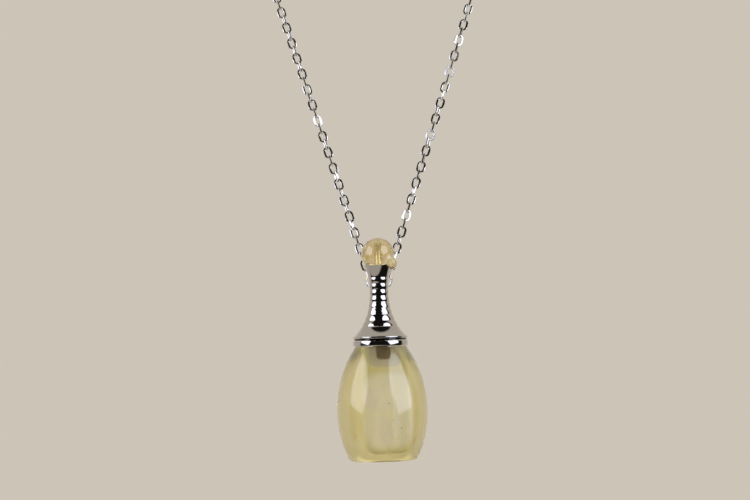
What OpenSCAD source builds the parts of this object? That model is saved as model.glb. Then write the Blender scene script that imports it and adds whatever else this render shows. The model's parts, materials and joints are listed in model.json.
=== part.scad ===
// A necklace with a small stone scent bottle on a fine cable chain.
// The origin is where the chain rests on the back of the wearer's neck,
// +Z is up and the pendant hangs in front, towards -Y.

/* [Bottle] */
// Widest diameter of the stone bottle
belly_d = 21.6; // [18:0.2:26]
// Height of the widest place above the base
belly_z = 11.7; // [9:0.1:15]
// Height of the stone bottle
bottle_h = 26.8; // [23:0.2:34]
// Diameter of the flat shoulder under the collar
shoulder_d = 12.2; // [11.6:0.1:14]
// Diameter of the base before its edge is rounded
base_d = 15.8; // [12:0.2:17]
// Radius of the rounded edge of the base
base_edge_r = 1.4; // [0.4:0.1:2]

/* [Vial drilled in the bottle] */
// Diameter of the drilled vial
vial_d = 6.8; // [6.6:0.1:8]
// Thickness of stone under the vial
vial_floor = 3.0; // [2:0.1:6]
// Radius of the rounded bottom edge of the vial
vial_edge_r = 1.8; // [0.5:0.1:2.5]
// How far the vial sits to the right of the bottle's axis
vial_offset = 0.7; // [0:0.05:0.8]

/* [Collar] */
// Outer diameter of the collar ring on the bottle
collar_d = 13.1; // [12.6:0.1:15]
// Height of the collar ring
collar_h = 1.3; // [0.8:0.1:2.5]
// Diameter of the open mouth in the collar
mouth_d = 6.2; // [6:0.1:6.8]
// Radius of the rounded lower edge of the collar
collar_edge_r = 0.35; // [0.1:0.05:0.5]

/* [Cap] */
// Diameter of the flange at the foot of the cap
flange_d = 13.0; // [12.4:0.1:15]
// Thickness of that flange
flange_h = 0.6; // [0.5:0.1:1.5]
// Rounding of the flange's two edges
flange_edge_r = 0.25; // [0.1:0.05:0.25]
// Height of the dark parting groove between flange and collar
groove_h = 0.5; // [0.4:0.1:1]
// Diameter at the bottom of the parting groove
groove_d = 12.4; // [10:0.1:12.6]
// Diameter of the skirt where it leaves the flange
skirt_foot_d = 12.5; // [11:0.1:12.8]
// Height of the smooth skirt above the flange
skirt_h = 2.2; // [1.5:0.1:4]
// Diameter of the skirt where the ribs start
skirt_top_d = 8.8; // [7:0.1:9.5]
// Height of the ribbed waist
waist_h = 11.6; // [9:0.1:15]
// Narrowest diameter of the waist
neck_d = 4.5; // [3.8:0.1:5]
// Height of the narrowest place above the foot of the waist
neck_z = 8.7; // [6:0.1:10]
// Number of ribs on the waist
rib_count = 8; // [5:1:12]
// How deep the grooves between the ribs are
rib_depth = 0.12; // [0.05:0.01:0.25]
// Height of the cup that holds the bead
cup_h = 2.8; // [2:0.1:3.4]
// Diameter of the foot of the cup
cup_foot_d = 4.9; // [4.4:0.1:5.6]
// Diameter of the cup's rim
cup_rim_d = 7.0; // [6.8:0.1:7.6]

/* [Stopper under the cap] */
// Diameter of the threaded spigot that fills the collar's mouth
spigot_d = 5.7; // [5.2:0.1:5.8]
// How far the spigot reaches below the top of the collar
spigot_depth = 1.2; // [0.8:0.1:2]
// Diameter of the stem below the spigot
stem_d = 3.5; // [2.6:0.1:4.2]
// How far the stem reaches below the top of the collar
stem_depth = 4.0; // [3:0.1:5]
// Diameter of the thin end of the stem inside the seal
core_d = 1.8; // [1.2:0.1:2.2]
// Diameter of the soft seal on the end of the stem
seal_d = 5.2; // [4.6:0.1:5.2]
// Height of the seal
seal_h = 2.0; // [1.5:0.1:3]
// Thickness of the seal under the stem's end
seal_floor = 0.6; // [0.4:0.1:0.8]
// Rounding of the seal's edges
seal_edge_r = 0.3; // [0.1:0.05:0.4]

/* [Bead] */
// Diameter of the round stone bead
bead_d = 7.9; // [7.6:0.1:9]
// How deep the bead sinks below the cup's rim
bead_sink = 1.4; // [1.2:0.1:1.8]
// Diameter of the blind hole drilled up into the bead
bead_hole_d = 1.1; // [1:0.05:1.5]
// How far that hole reaches above the bead's centre
bead_hole_top = 1.9; // [0.5:0.1:3]
// Diameter of the small lobe on the bead's lower right
lobe_d = 3.2; // [2:0.1:3.4]
// Distance of the lobe from the bead's axis
lobe_out = 2.9; // [2.8:0.1:3.6]
// Drop of the lobe's centre below the bead's centre
lobe_drop = 2.1; // [1.6:0.1:2.3]
// How far the lobe sits in front of the bead's axis, clear of the chain
lobe_forward = 1.9; // [0:0.1:2.4]
// Diameter of the pin on which the bead is glued
pin_d = 0.9; // [0.7:0.05:0.9]

/* [Bail] */
// Diameter of the hole in the bail ring
bail_hole_d = 2.9; // [2.8:0.1:4]
// Wire diameter of the bail ring
bail_wire_d = 0.7; // [0.5:0.05:0.9]
// How deep the bail's wire is soldered into the waist
bail_sink = 0.15; // [0.1:0.05:0.25]
// Height of the bail's centre above the foot of the waist
bail_z = 7.55; // [6:0.05:8]

/* [Chain] */
// Wire diameter of a link
link_wire_d = 0.42; // [0.36:0.02:0.5]
// Outer width of a link
link_w = 2.2; // [1.9:0.05:2.5]
// Distance from one link to the next
link_pitch = 2.2; // [1.8:0.05:2.4]

/* [Clasp] */
// Length of the plain barrel clasp
clasp_l = 9; // [6:0.5:14]
// Diameter of the clasp
clasp_d = 4.0; // [3:0.1:5]
// Length of the rounded ends of the clasp
clasp_end_l = 1.6; // [1:0.1:2]
// Diameter of the hole in each eye of the clasp
eye_hole_d = 1.6; // [1.4:0.1:2]
// Wire diameter of each eye
eye_wire_d = 0.6; // [0.4:0.05:0.8]

/* [Fits] */
// Glue gap between the collar and the stone, and round the bead
glue_gap = 0.08; // [0.05:0.01:0.12]
// Gap between the spigot's shoulder and the collar
seat_gap = 0.1; // [0.05:0.01:0.2]
// Gap between the stem's end and the seal
seal_gap = 0.05; // [0.03:0.01:0.08]
// Gap between two links, and between a link and the clasp's eye
link_gap = 0.12; // [0.1:0.01:0.2]
// Gap between the bail and the link that carries it
bail_gap = 0.15; // [0.1:0.01:0.25]

/* [Hidden] */

$fn = 96;
// Steps along a curved part of an outline
curve_steps = 12;
// Steps along one rib of the waist
rib_steps = 6;
// Steps from one point of the chain's route to the next
route_steps = 12;
// Overlap of shapes that are joined or cut
join = 0.2;

// Heights above the base of the bottle, along the pendant's own axis
collar_z = bottle_h + glue_gap;
collar_top_z = collar_z + collar_h;
flange_z = collar_top_z + groove_h;
skirt_z = flange_z + flange_h;
waist_z = skirt_z + skirt_h;
neck_place_z = waist_z + neck_z;
cup_z = waist_z + waist_h;
rim_z = cup_z + cup_h;
bead_z = rim_z - bead_sink + bead_d / 2;
bail_place_z = waist_z + bail_z;
seal_top_z = collar_top_z - stem_depth;

// This share of the skirt's narrowing follows a parabola, the rest is straight
skirt_bend = 0.3;
// The waist widens below its neck by this power of the distance
waist_power = 2.4;
// The cup widens by this power of the height
cup_power = 1.3;

// The link that carries the bail lies this far behind the pendant's axis
bail_ring_r = (bail_hole_d + bail_wire_d) / 2;
bail_back = waist_r(bail_place_z) + bail_ring_r - bail_sink;
// and this far above the centre of the bail
hang_rise = bail_hole_d / 2 - bail_gap - link_w / 2;
hang_z = bail_place_z + hang_rise;
// Height of the pendant's balance point above the base of the bottle
balance_z = bottle_h * 0.691;
// The pendant tips forward until its weight hangs under the bail
hang_tilt = atan2(bail_back, hang_z - balance_z);

// Top of the pin, just inside the bead's hole
pin_top_z = bead_z + bead_hole_top - 3 * glue_gap;

// The clasp's eyes: their rings' radius, their centres, and where the last links meet them
eye_ring_r = (eye_hole_d + eye_wire_d) / 2;
eye_x = clasp_l / 2 + eye_hole_d / 2;
eye_joint_x = eye_x + eye_hole_d / 2 - link_gap / 2;

// Where the chain turns through the bail
hang_point = [0, -70, -168];
// The chain's route from the bail up to the clasp, on the right and on the left
right_route = [
    [7.2, -66.5, -148], [13.5, -63.5, -128], [19.8, -60.5, -108], [26, -57.5, -88], [32, -54, -68],
    [37.5, -49.5, -49], [41.5, -42, -33], [42.5, -31.5, -20], [38.5, -19.5, -11], [30, -8.5, -5], [18.5, -1, -1.5]
];
left_route = [
    [-6.6, -66.5, -148], [-12.3, -63.5, -128], [-18, -60.5, -108], [-23.8, -57.5, -88], [-29.8, -54, -68],
    [-35.8, -49.5, -49], [-40.8, -42, -33], [-42.5, -31.5, -20], [-38.5, -19.5, -11], [-30, -8.5, -5], [-18.5, -1, -1.5]
];

// Points of an arc about a centre, from one angle to another
function arc(centre, r, from, to) = [
    for (i = [0:curve_steps])
        let (a = from + (to - from) * i / curve_steps)
            centre + r * [cos(a), sin(a)]
];

// Radius of the arc that is upright at the belly and passes in_by inside it, up_by away
function belly_arc_r(in_by, up_by) = (in_by * in_by + up_by * up_by) / (2 * in_by);

// Outline of the bottle, from its axis at the base to its axis at the shoulder
function bottle_outline() =
    let (
        belly_r = belly_d / 2,
        upper_r = belly_arc_r((belly_d - shoulder_d) / 2, bottle_h - belly_z),
        lower_r = belly_arc_r((belly_d - base_d) / 2, belly_z),
        upper_c = [belly_r - upper_r, belly_z],
        lower_c = [belly_r - lower_r, belly_z],
        reach = lower_r - base_edge_r,
        rise = belly_z - base_edge_r,
        edge_c = [lower_c[0] + sqrt(reach * reach - rise * rise), base_edge_r],
        edge_a = -asin(rise / reach)
    )
    concat(
        [[0, 0]],
        arc(edge_c, base_edge_r, -90, edge_a),
        arc(lower_c, lower_r, edge_a, 0),
        arc(upper_c, upper_r, 0, asin((bottle_h - belly_z) / upper_r)),
        [[0, bottle_h]]
    );

// Outline of the drilled vial, open past the shoulder
function vial_outline() = concat(
    [[0, vial_floor]],
    arc([vial_d / 2 - vial_edge_r, vial_floor + vial_edge_r], vial_edge_r, -90, 0),
    [[vial_d / 2, bottle_h + join], [0, bottle_h + join]]
);

// Radius of the cap's waist at a height, without its ribs
function waist_r(z) =
    let (neck_r = neck_d / 2)
    z < neck_place_z
        ? neck_r + (skirt_top_d / 2 - neck_r) * pow((neck_place_z - z) / neck_z, waist_power)
        : neck_r + (cup_foot_d / 2 - neck_r) * pow((z - neck_place_z) / (waist_h - neck_z), 2);

// Outline of the cap's outside, from the groove to the rim of the cup
function cap_outside() = concat(
    [[groove_d / 2, collar_top_z + seat_gap], [groove_d / 2, flange_z]],
    arc([flange_d / 2 - flange_edge_r, flange_z + flange_edge_r], flange_edge_r, -90, 0),
    arc([flange_d / 2 - flange_edge_r, skirt_z - flange_edge_r], flange_edge_r, 0, 90),
    [
        for (i = [0:curve_steps])
            let (up = i / curve_steps, down = 1 - up)
                [
                    skirt_top_d / 2 + (skirt_foot_d - skirt_top_d) / 2 * (skirt_bend * pow(down, 2) + (1 - skirt_bend) * down),
                    skirt_z + skirt_h * up
                ]
    ],
    [
        for (i = [1:rib_count * rib_steps])
            let (z = waist_z + waist_h * i / (rib_count * rib_steps))
                [waist_r(z) - rib_depth * (1 - sin(180 * (i % rib_steps) / rib_steps)), z]
    ],
    [
        for (i = [0:curve_steps])
            let (up = i / curve_steps)
                [cup_foot_d / 2 + (cup_rim_d - cup_foot_d) / 2 * pow(up, cup_power), cup_z + cup_h * up]
    ]
);

// Outline of the cup's inside, which follows the bead down to the pin
function cup_inside() =
    let (
        seat_r = bead_d / 2 + glue_gap,
        rim_a = -asin((bead_z - rim_z) / seat_r),
        pin_a = -acos(pin_d / 2 / seat_r)
    )
    arc([0, bead_z], seat_r, rim_a, pin_a);

// Outline of the stopper, from the end of the stem up to the groove
function stopper_outside() = [
    [0, seal_top_z - seal_h + seal_floor],
    [core_d / 2, seal_top_z - seal_h + seal_floor],
    [core_d / 2, seal_top_z],
    [stem_d / 2, seal_top_z],
    [stem_d / 2, collar_top_z - spigot_depth],
    [spigot_d / 2, collar_top_z - spigot_depth],
    [spigot_d / 2, collar_top_z + seat_gap]
];

// Moves the pendant from its own axis to where it hangs in the chain
module hang() {
    translate(hang_point) rotate([hang_tilt, 0, 0]) translate([0, -bail_back, -hang_z]) children();
}

module bottle() {
    color("#c2b87c") hang() difference() {
        rotate_extrude() polygon(bottle_outline());
        translate([vial_offset, 0, 0]) rotate_extrude() polygon(vial_outline());
    }
}

module collar() {
    outer_r = collar_d / 2;
    color("#c9c9cc") hang() rotate_extrude() polygon(concat(
        [[mouth_d / 2, collar_top_z], [mouth_d / 2, collar_z]],
        arc([outer_r - collar_edge_r, collar_z + collar_edge_r], collar_edge_r, -90, 0),
        [[outer_r, collar_top_z]]
    ));
}

module bail_ring() {
    translate([0, bail_back, bail_place_z]) rotate([0, 90, 0])
        rotate_extrude() translate([bail_ring_r, 0]) circle(d = bail_wire_d);
}

module cap() {
    color("#c9c9cc") hang() union() {
        rotate_extrude() polygon(concat(
            stopper_outside(), cap_outside(), cup_inside(), [[pin_d / 2, pin_top_z], [0, pin_top_z]]
        ));
        bail_ring();
    }
}

module seal() {
    bottom_z = seal_top_z - seal_h;
    hole_r = core_d / 2 + seal_gap;
    hole_z = bottom_z + seal_floor - seal_gap;
    outer_r = seal_d / 2;
    edge_z = seal_top_z - seal_gap - seal_edge_r;
    color("#9a9790") hang() rotate_extrude() polygon(concat(
        [[0, hole_z], [0, bottom_z]],
        arc([outer_r - seal_edge_r, bottom_z + seal_edge_r], seal_edge_r, -90, 0),
        arc([outer_r - seal_edge_r, edge_z], seal_edge_r, 0, 90),
        [[hole_r, seal_top_z - seal_gap], [hole_r, hole_z]]
    ));
}

// The small lobe, cut out where the cup's rim stands under it
module lobe() {
    difference() {
        translate([lobe_out, -lobe_forward, bead_z - lobe_drop]) sphere(d = lobe_d);
        translate([0, 0, cup_z]) cylinder(d = cup_rim_d + 2 * glue_gap, h = cup_h + glue_gap);
    }
}

module bead() {
    color("#bda978") hang() difference() {
        union() {
            translate([0, 0, bead_z]) sphere(d = bead_d);
            lobe();
        }
        translate([0, 0, bead_z - bead_d]) cylinder(d = bead_hole_d, h = bead_d + bead_hole_top);
    }
}

// Smooth curve through four points, at a share of the way from the second to the third
function smooth(a, b, c, d, u) = 0.5 * (
    2 * b + (c - a) * u + (2 * a - 5 * b + 4 * c - d) * u * u + (3 * b - a - 3 * c + d) * u * u * u
);

// Points close together along a route
function fine_route(points) =
    let (last = len(points) - 1)
    [
        for (i = [0:last - 1], k = [0:route_steps - 1])
            smooth(points[max(i - 1, 0)], points[i], points[i + 1], points[min(i + 2, last)], k / route_steps),
        points[last]
    ];

// Length along a fine route up to each of its points
function lengths(path) = [
    for (i = 0, s = 0; i < len(path); i = i + 1, s = i < len(path) ? s + norm(path[i] - path[i - 1]) : s) s
];

// The place at a length along a fine route
function place_at(path, along, s) = [
    for (axis = [0:2]) lookup(s, [for (i = [0:len(path) - 1]) [along[i], path[i][axis]]])
];

// Where neighbouring links meet on one side, from the bail to the clasp
function joints(side, route) =
    let (
        start = hang_point + [side * link_pitch / 2, 0, 0],
        end = [side * eye_joint_x, clasp_d / 2, 0],
        path = fine_route(concat([start], route, [end])),
        along = lengths(path),
        total = along[len(along) - 1],
        links = 2 * round(total / link_pitch / 2)
    )
    [for (i = [0:links]) place_at(path, along, total * i / links)];

// The outline of a link's outside or hole, round at both ends
module link_outline(straight, w) {
    square([straight, w], center = true);
    for (side = [-1, 1]) translate([side * straight / 2, 0]) circle(d = w);
}

// A flat link with its length along X and its width along Y
module link(pitch) {
    straight = pitch + 2 * link_wire_d + link_gap - link_w;
    linear_extrude(height = link_wire_d, center = true) difference() {
        link_outline(straight, link_w);
        link_outline(straight, link_w - 2 * link_wire_d);
    }
}

// A link between two joints, turned by a quarter about its length where flat is false
module placed_link(from, to, flat) {
    length_dir = (to - from) / norm(to - from);
    across = cross(length_dir, [0, 1, 0]);
    wide_dir = across / norm(across);
    face_dir = cross(length_dir, wide_dir);
    y_dir = flat ? wide_dir : face_dir;
    z_dir = cross(length_dir, y_dir);
    middle = (from + to) / 2;
    multmatrix([
        [length_dir[0], y_dir[0], z_dir[0], middle[0]],
        [length_dir[1], y_dir[1], z_dir[1], middle[1]],
        [length_dir[2], y_dir[2], z_dir[2], middle[2]],
        [0, 0, 0, 1]
    ]) link(norm(to - from));
}

module chain() {
    half = [link_pitch / 2, 0, 0];
    color("#d6d6d9") union() {
        placed_link(hang_point - half, hang_point + half, true);
        for (route = [joints(1, right_route), joints(-1, left_route)])
            for (i = [1:len(route) - 1])
                placed_link(route[i - 1], route[i], i % 2 == 0);
    }
}

// A point of the clasp's rounded end, from its tip to its barrel
function clasp_end_point(share, side) = [
    clasp_d / 2 * (0.3 + 0.7 * sin(90 * share)),
    side * (clasp_l / 2 - clasp_end_l * (1 - cos(90 * share)))
];

module clasp() {
    color("#d6d6d9") translate([0, clasp_d / 2, 0]) union() {
        rotate([0, 90, 0]) rotate_extrude() polygon(concat(
            [[0, -clasp_l / 2]],
            [for (i = [0:curve_steps]) clasp_end_point(i / curve_steps, -1)],
            [for (i = [curve_steps:-1:0]) clasp_end_point(i / curve_steps, 1)],
            [[0, clasp_l / 2]]
        ));
        for (side = [-1, 1])
            translate([side * eye_x, 0, 0]) rotate_extrude() translate([eye_ring_r, 0]) circle(d = eye_wire_d);
    }
}

bottle();
collar();
cap();
seal();
bead();
chain();
clasp();
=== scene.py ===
"""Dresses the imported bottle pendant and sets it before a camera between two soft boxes.

Sizes are in millimetres. The pendant is modelled upright on its own axis, with the bottle's base at height 0,
and each finished mesh is then moved to the place where the frame's joints and nodes hang it.
"""
import json
import logging
import math
from dataclasses import dataclass
from enum import Enum
from typing import Callable, Sequence

import bmesh
import bpy
import numpy as np
from mathutils import Matrix, Vector


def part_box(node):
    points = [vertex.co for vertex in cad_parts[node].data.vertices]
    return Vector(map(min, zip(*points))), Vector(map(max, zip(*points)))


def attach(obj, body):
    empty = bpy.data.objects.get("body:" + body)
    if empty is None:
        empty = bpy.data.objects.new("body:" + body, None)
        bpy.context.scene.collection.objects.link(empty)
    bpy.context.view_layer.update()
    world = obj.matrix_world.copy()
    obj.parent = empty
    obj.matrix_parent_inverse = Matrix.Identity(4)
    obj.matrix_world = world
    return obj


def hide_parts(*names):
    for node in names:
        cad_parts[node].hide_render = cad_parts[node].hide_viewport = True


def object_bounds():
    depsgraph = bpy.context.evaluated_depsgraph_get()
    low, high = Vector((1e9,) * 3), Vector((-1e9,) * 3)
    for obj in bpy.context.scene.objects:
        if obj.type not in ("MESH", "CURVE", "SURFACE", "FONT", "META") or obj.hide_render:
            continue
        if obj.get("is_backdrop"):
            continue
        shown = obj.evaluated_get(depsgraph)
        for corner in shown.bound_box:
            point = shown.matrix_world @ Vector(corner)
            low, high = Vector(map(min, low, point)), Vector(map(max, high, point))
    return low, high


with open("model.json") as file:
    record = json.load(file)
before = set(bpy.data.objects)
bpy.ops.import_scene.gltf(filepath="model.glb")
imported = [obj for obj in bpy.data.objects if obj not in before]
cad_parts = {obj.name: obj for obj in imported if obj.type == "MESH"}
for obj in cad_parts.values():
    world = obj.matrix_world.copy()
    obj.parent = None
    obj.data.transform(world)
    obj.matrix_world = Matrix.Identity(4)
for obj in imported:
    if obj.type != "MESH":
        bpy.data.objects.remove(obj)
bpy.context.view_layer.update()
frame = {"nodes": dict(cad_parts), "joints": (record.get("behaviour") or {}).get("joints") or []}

log = logging.getLogger("bottle_pendant")

MM = 0.001
TURN = 2 * math.pi
FAR = 1000.0  # mm, past the end of any piece
HAIR = 1e-3  # mm, less than the distance between any two points of a mesh
QUARTZ_IOR = 1.54
Outline = list[tuple[float, float]]


class Body(Enum):
    """The frame's bodies, which the pieces ride on."""

    NECKLACE = "necklace"
    STOPPER = "stopper"
    FLASK = "flask"


class Slot(Enum):
    """The record's material slots, which the pieces take their finish from."""

    STONE = "stone"
    BEAD_STONE = "bead_stone"
    PLATED_METAL = "plated_metal"
    CHAIN_METAL = "chain_metal"
    SEAL_RUBBER = "seal_rubber"


class Cut(Enum):
    """What one solid does to another."""

    SOLDER = "UNION"
    DRILL = "DIFFERENCE"


def even_shares(steps: int) -> list[float]:
    """Shares from 0 to 1 in even steps."""
    return [i / steps for i in range(steps + 1)]


def arc(centre: tuple[float, float], radius: float, start: float, end: float, steps: int = 16) -> Outline:
    """Points of an arc.

    Args:
        centre: The arc's centre, out from the axis and up.
        radius: Its radius.
        start: Angle of its first point in degrees, 0 pointing outwards and 90 up.
        end: Angle of its last point.
        steps: How many steps lie between them.

    Returns:
        The points, from the first to the last.
    """
    angles = [math.radians(start + (end - start) * share) for share in even_shares(steps)]
    return [(centre[0] + radius * math.cos(a), centre[1] + radius * math.sin(a)) for a in angles]


def clear_selection() -> None:
    """Leaves nothing selected, the frame's nodes included."""
    if bpy.context.object and bpy.context.object.mode != "OBJECT":
        bpy.ops.object.mode_set(mode="OBJECT")
    bpy.ops.object.select_all(action="DESELECT")


def pick_up(*pieces: bpy.types.Object) -> None:
    """Selects these pieces alone and makes the first the active one."""
    clear_selection()
    for piece in pieces:
        piece.select_set(True)
    bpy.context.view_layer.objects.active = pieces[0]


def select_points(test: Callable[[Vector], bool]) -> None:
    """Selects the points of the mesh in edit mode whose place passes a test.

    Args:
        test: Takes a place and says whether its point is selected.
    """
    bpy.ops.mesh.select_mode(type="VERT")
    bpy.ops.mesh.select_all(action="DESELECT")
    mesh = bmesh.from_edit_mesh(bpy.context.object.data)
    for point in mesh.verts:
        point.select_set(test(point.co))
    mesh.select_flush(True)
    bmesh.update_edit_mesh(bpy.context.object.data)


def finish_modifier(piece: bpy.types.Object, kind: str, **settings: object) -> None:
    """Adds a modifier to a piece and applies it.

    Args:
        piece: The piece.
        kind: The modifier's type.
        settings: Its properties.
    """
    pick_up(piece)
    modifier = piece.modifiers.new(kind.title(), kind)
    for key, value in settings.items():
        setattr(modifier, key, value)
    bpy.ops.object.modifier_apply(modifier=modifier.name)


def work(piece: bpy.types.Object, tool: bpy.types.Object, cut: Cut) -> None:
    """Solders a second solid onto a piece, or drills it away, and removes that solid.

    Args:
        piece: The piece that stays.
        tool: The solid that is used up.
        cut: What is done.
    """
    finish_modifier(piece, "BOOLEAN", operation=cut.value, object=tool, solver="EXACT")
    bpy.data.objects.remove(tool)


def settle(piece: bpy.types.Object, place: Matrix | None = None) -> None:
    """Moves a piece and puts its place into its mesh.

    Args:
        piece: The piece.
        place: Where it goes, or None where it lies already.
    """
    pick_up(piece)
    if place is not None:
        piece.matrix_world = place @ piece.matrix_world
    bpy.ops.object.transform_apply(location=True, rotation=True, scale=True)


def polish(piece: bpy.types.Object, angle: float = 30) -> None:
    """Shades a piece smooth where its faces meet at less than an angle, in degrees."""
    pick_up(piece)
    bpy.ops.object.shade_smooth_by_angle(angle=math.radians(angle))


def solder_ring(
    piece: bpy.types.Object,
    centre: tuple[float, float, float],
    hole_d: float,
    wire_d: float,
    sides: tuple[int, int],
) -> None:
    """Solders a ring of round wire onto a piece, with its hole from left to right.

    Args:
        piece: The piece.
        centre: The ring's centre.
        hole_d: Diameter of its hole.
        wire_d: Diameter of its wire.
        sides: How many sides the ring and its wire have.
    """
    clear_selection()
    bpy.ops.mesh.primitive_torus_add(
        location=centre,
        rotation=(0, math.pi / 2, 0),
        major_radius=(hole_d + wire_d) / 2,
        minor_radius=wire_d / 2,
        major_segments=sides[0],
        minor_segments=sides[1],
    )
    ring = bpy.context.object
    settle(ring)
    work(piece, ring, Cut.SOLDER)


def lathe(name: str, outline: Outline, steps: int = 128, centre_x: float = 0.0) -> bpy.types.Object:
    """Turns a piece: one point is extruded along an outline, and the line is spun about an upright axis.

    Args:
        name: The piece's name.
        outline: Distances from the axis and heights, from one end to the other.
        steps: Steps of a whole turn.
        centre_x: Where the axis stands.

    Returns:
        The turned piece, closed where its outline starts and ends on the axis.
    """
    clear_selection()
    bpy.ops.mesh.primitive_plane_add(size=1)
    piece = bpy.context.object
    piece.name = name
    bpy.ops.object.mode_set(mode="EDIT")
    bpy.ops.mesh.merge(type="CENTER")
    places = [Vector((centre_x + out, 0, up)) for out, up in outline]
    bpy.ops.transform.translate(value=places[0])
    for here, there in zip(places, places[1:]):
        bpy.ops.mesh.extrude_region_move(TRANSFORM_OT_translate={"value": there - here})
    bpy.ops.mesh.select_all(action="SELECT")
    bpy.ops.mesh.spin(steps=steps, angle=TURN, center=(centre_x, 0, 0), axis=(0, 0, 1))
    bpy.ops.mesh.select_all(action="SELECT")
    bpy.ops.mesh.remove_doubles(threshold=HAIR)
    bpy.ops.mesh.normals_make_consistent(inside=False)
    bpy.ops.object.mode_set(mode="OBJECT")
    return piece


@dataclass(frozen=True)
class Hanging:
    """Where the pendant hangs.

    Attributes:
        turn: From the pendant's own directions to the frame's.
        base: The middle of the bottle's base, in metres, in the frame.
    """

    turn: Matrix
    base: Vector

    @classmethod
    def from_frame(cls) -> "Hanging":
        """Reads the pendant's axis from the joint that draws the bottle down, and its base from the nodes.

        Returns:
            The pendant's place.
        """
        slide = next(joint for joint in frame["joints"] if joint["name"] == "bottle_unscrew")
        up = -Vector(slide["axis"]).normalized()
        right = Vector((1, 0, 0))
        turn = Matrix((right, up.cross(right), up)).transposed()
        ring, stone = (
            np.array([turn.transposed() @ v.co for v in frame["nodes"][node].data.vertices])
            for node in ("collar", "bottle")
        )
        middle = (ring.min(axis=0) + ring.max(axis=0)) / 2
        return cls(turn, turn @ Vector((middle[0], middle[1], stone[:, 2].min())))

    def matrix(self) -> Matrix:
        """From the pendant's own millimetres to the frame's metres."""
        return Matrix.Translation(self.base) @ self.turn.to_4x4() @ Matrix.Scale(MM, 4)

    def point(self, x: float, y: float, z: float) -> Vector:
        """A point of the pendant, in the frame."""
        return self.matrix() @ Vector((x, y, z))


def linear(hex_colour: str) -> tuple[float, float, float, float]:
    """Turns a colour from sRGB to linear light.

    Args:
        hex_colour: The colour as hex, such as #C2B87C.

    Returns:
        Its linear red, green and blue, and 1 for alpha.
    """
    shares = [int(hex_colour[i : i + 2], 16) / 255 for i in (1, 3, 5)]
    red, green, blue = (s / 12.92 if s <= 0.04045 else ((s + 0.055) / 1.055) ** 2.4 for s in shares)
    return red, green, blue, 1.0


def blank_material(name: str) -> tuple[bpy.types.Material, bpy.types.NodeTree]:
    """Makes a material without nodes.

    Args:
        name: Its name.

    Returns:
        The material and its empty tree.
    """
    material = bpy.data.materials.new(name)
    material.use_nodes = True
    material.node_tree.nodes.clear()
    return material, material.node_tree


def add_node(
    tree: bpy.types.NodeTree, kind: str, inputs: dict[str | int, object] | None = None, **settings: object
) -> bpy.types.Node:
    """Adds a node with its settings, values and links.

    Args:
        tree: The tree that it goes into.
        kind: The node's type, without the word ShaderNode.
        inputs: For each input, by name or number, its value, a colour as hex, the socket that feeds it, or
            the node whose first output in use does.
        settings: The node's properties.

    Returns:
        The node.
    """
    node = tree.nodes.new("ShaderNode" + kind)
    for key, value in settings.items():
        setattr(node, key, value)
    for key, value in (inputs or {}).items():
        if isinstance(value, str):
            value = linear(value)
        if isinstance(value, bpy.types.Node):
            value = next(output for output in value.outputs if output.enabled)
        if isinstance(value, bpy.types.NodeSocket):
            tree.links.new(value, node.inputs[key])
        else:
            node.inputs[key].default_value = value
    return node


def own_coordinates(tree: bpy.types.NodeTree, hanging: Hanging) -> bpy.types.Node:
    """Turns Object coordinates to the pendant's own millimetres.

    Args:
        tree: The material's tree.
        hanging: The pendant's place.

    Returns:
        The node with the place on the upright pendant.
    """
    back = hanging.turn.transposed()
    return add_node(
        tree,
        "Mapping",
        {
            "Vector": add_node(tree, "TexCoord").outputs["Object"],
            "Location": -(back @ hanging.base) / MM,
            "Rotation": back.to_euler(),
            "Scale": Vector((1, 1, 1)) / MM,
        },
        vector_type="POINT",
    )


@dataclass(frozen=True)
class Mark:
    """A grain, a stain, a hazy place, or a patch of painted shade or painted light on a stone.

    Attributes:
        place: Its middle, in the pendant's millimetres.
        size: Its radius in millimetres.
        colour: Its colour.
        soft: Share of the radius over which its edge fades.
        spread: How many times its radius it reaches in each of the pendant's directions.
        boxy: Whether its outline is a rounded box instead of an oval.
        opaque: Share of the light that it keeps from passing through.
    """

    place: tuple[float, float, float]
    size: float = 0.14
    colour: str = "#4A3A24"
    soft: float = 0.3
    spread: tuple[float, float, float] = (1, 1, 1)
    boxy: bool = False
    opaque: float = 0.0

    def share(self, tree: bpy.types.NodeTree, place: bpy.types.Node) -> bpy.types.Node:
        """Tells how much the mark covers a place.

        Args:
            tree: The material's tree.
            place: The node with the place on the pendant.

        Returns:
            The node that gives 1 in the mark's middle and 0 outside it.
        """
        from_mark = add_node(tree, "VectorMath", {0: place, 1: self.place}, operation="SUBTRACT")
        scaled = add_node(tree, "VectorMath", {0: from_mark, 1: self.spread}, operation="DIVIDE")
        if self.boxy:
            scaled = add_node(tree, "VectorMath", {0: scaled, 1: scaled}, operation="MULTIPLY")
        power = 2 if self.boxy else 1
        ends = {1: self.size**power, 2: (self.size * (1 - self.soft)) ** power}
        distance = add_node(tree, "VectorMath", {0: scaled}, operation="LENGTH")
        return add_node(tree, "MapRange", {0: distance, **ends}, interpolation_type="SMOOTHSTEP")


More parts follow.
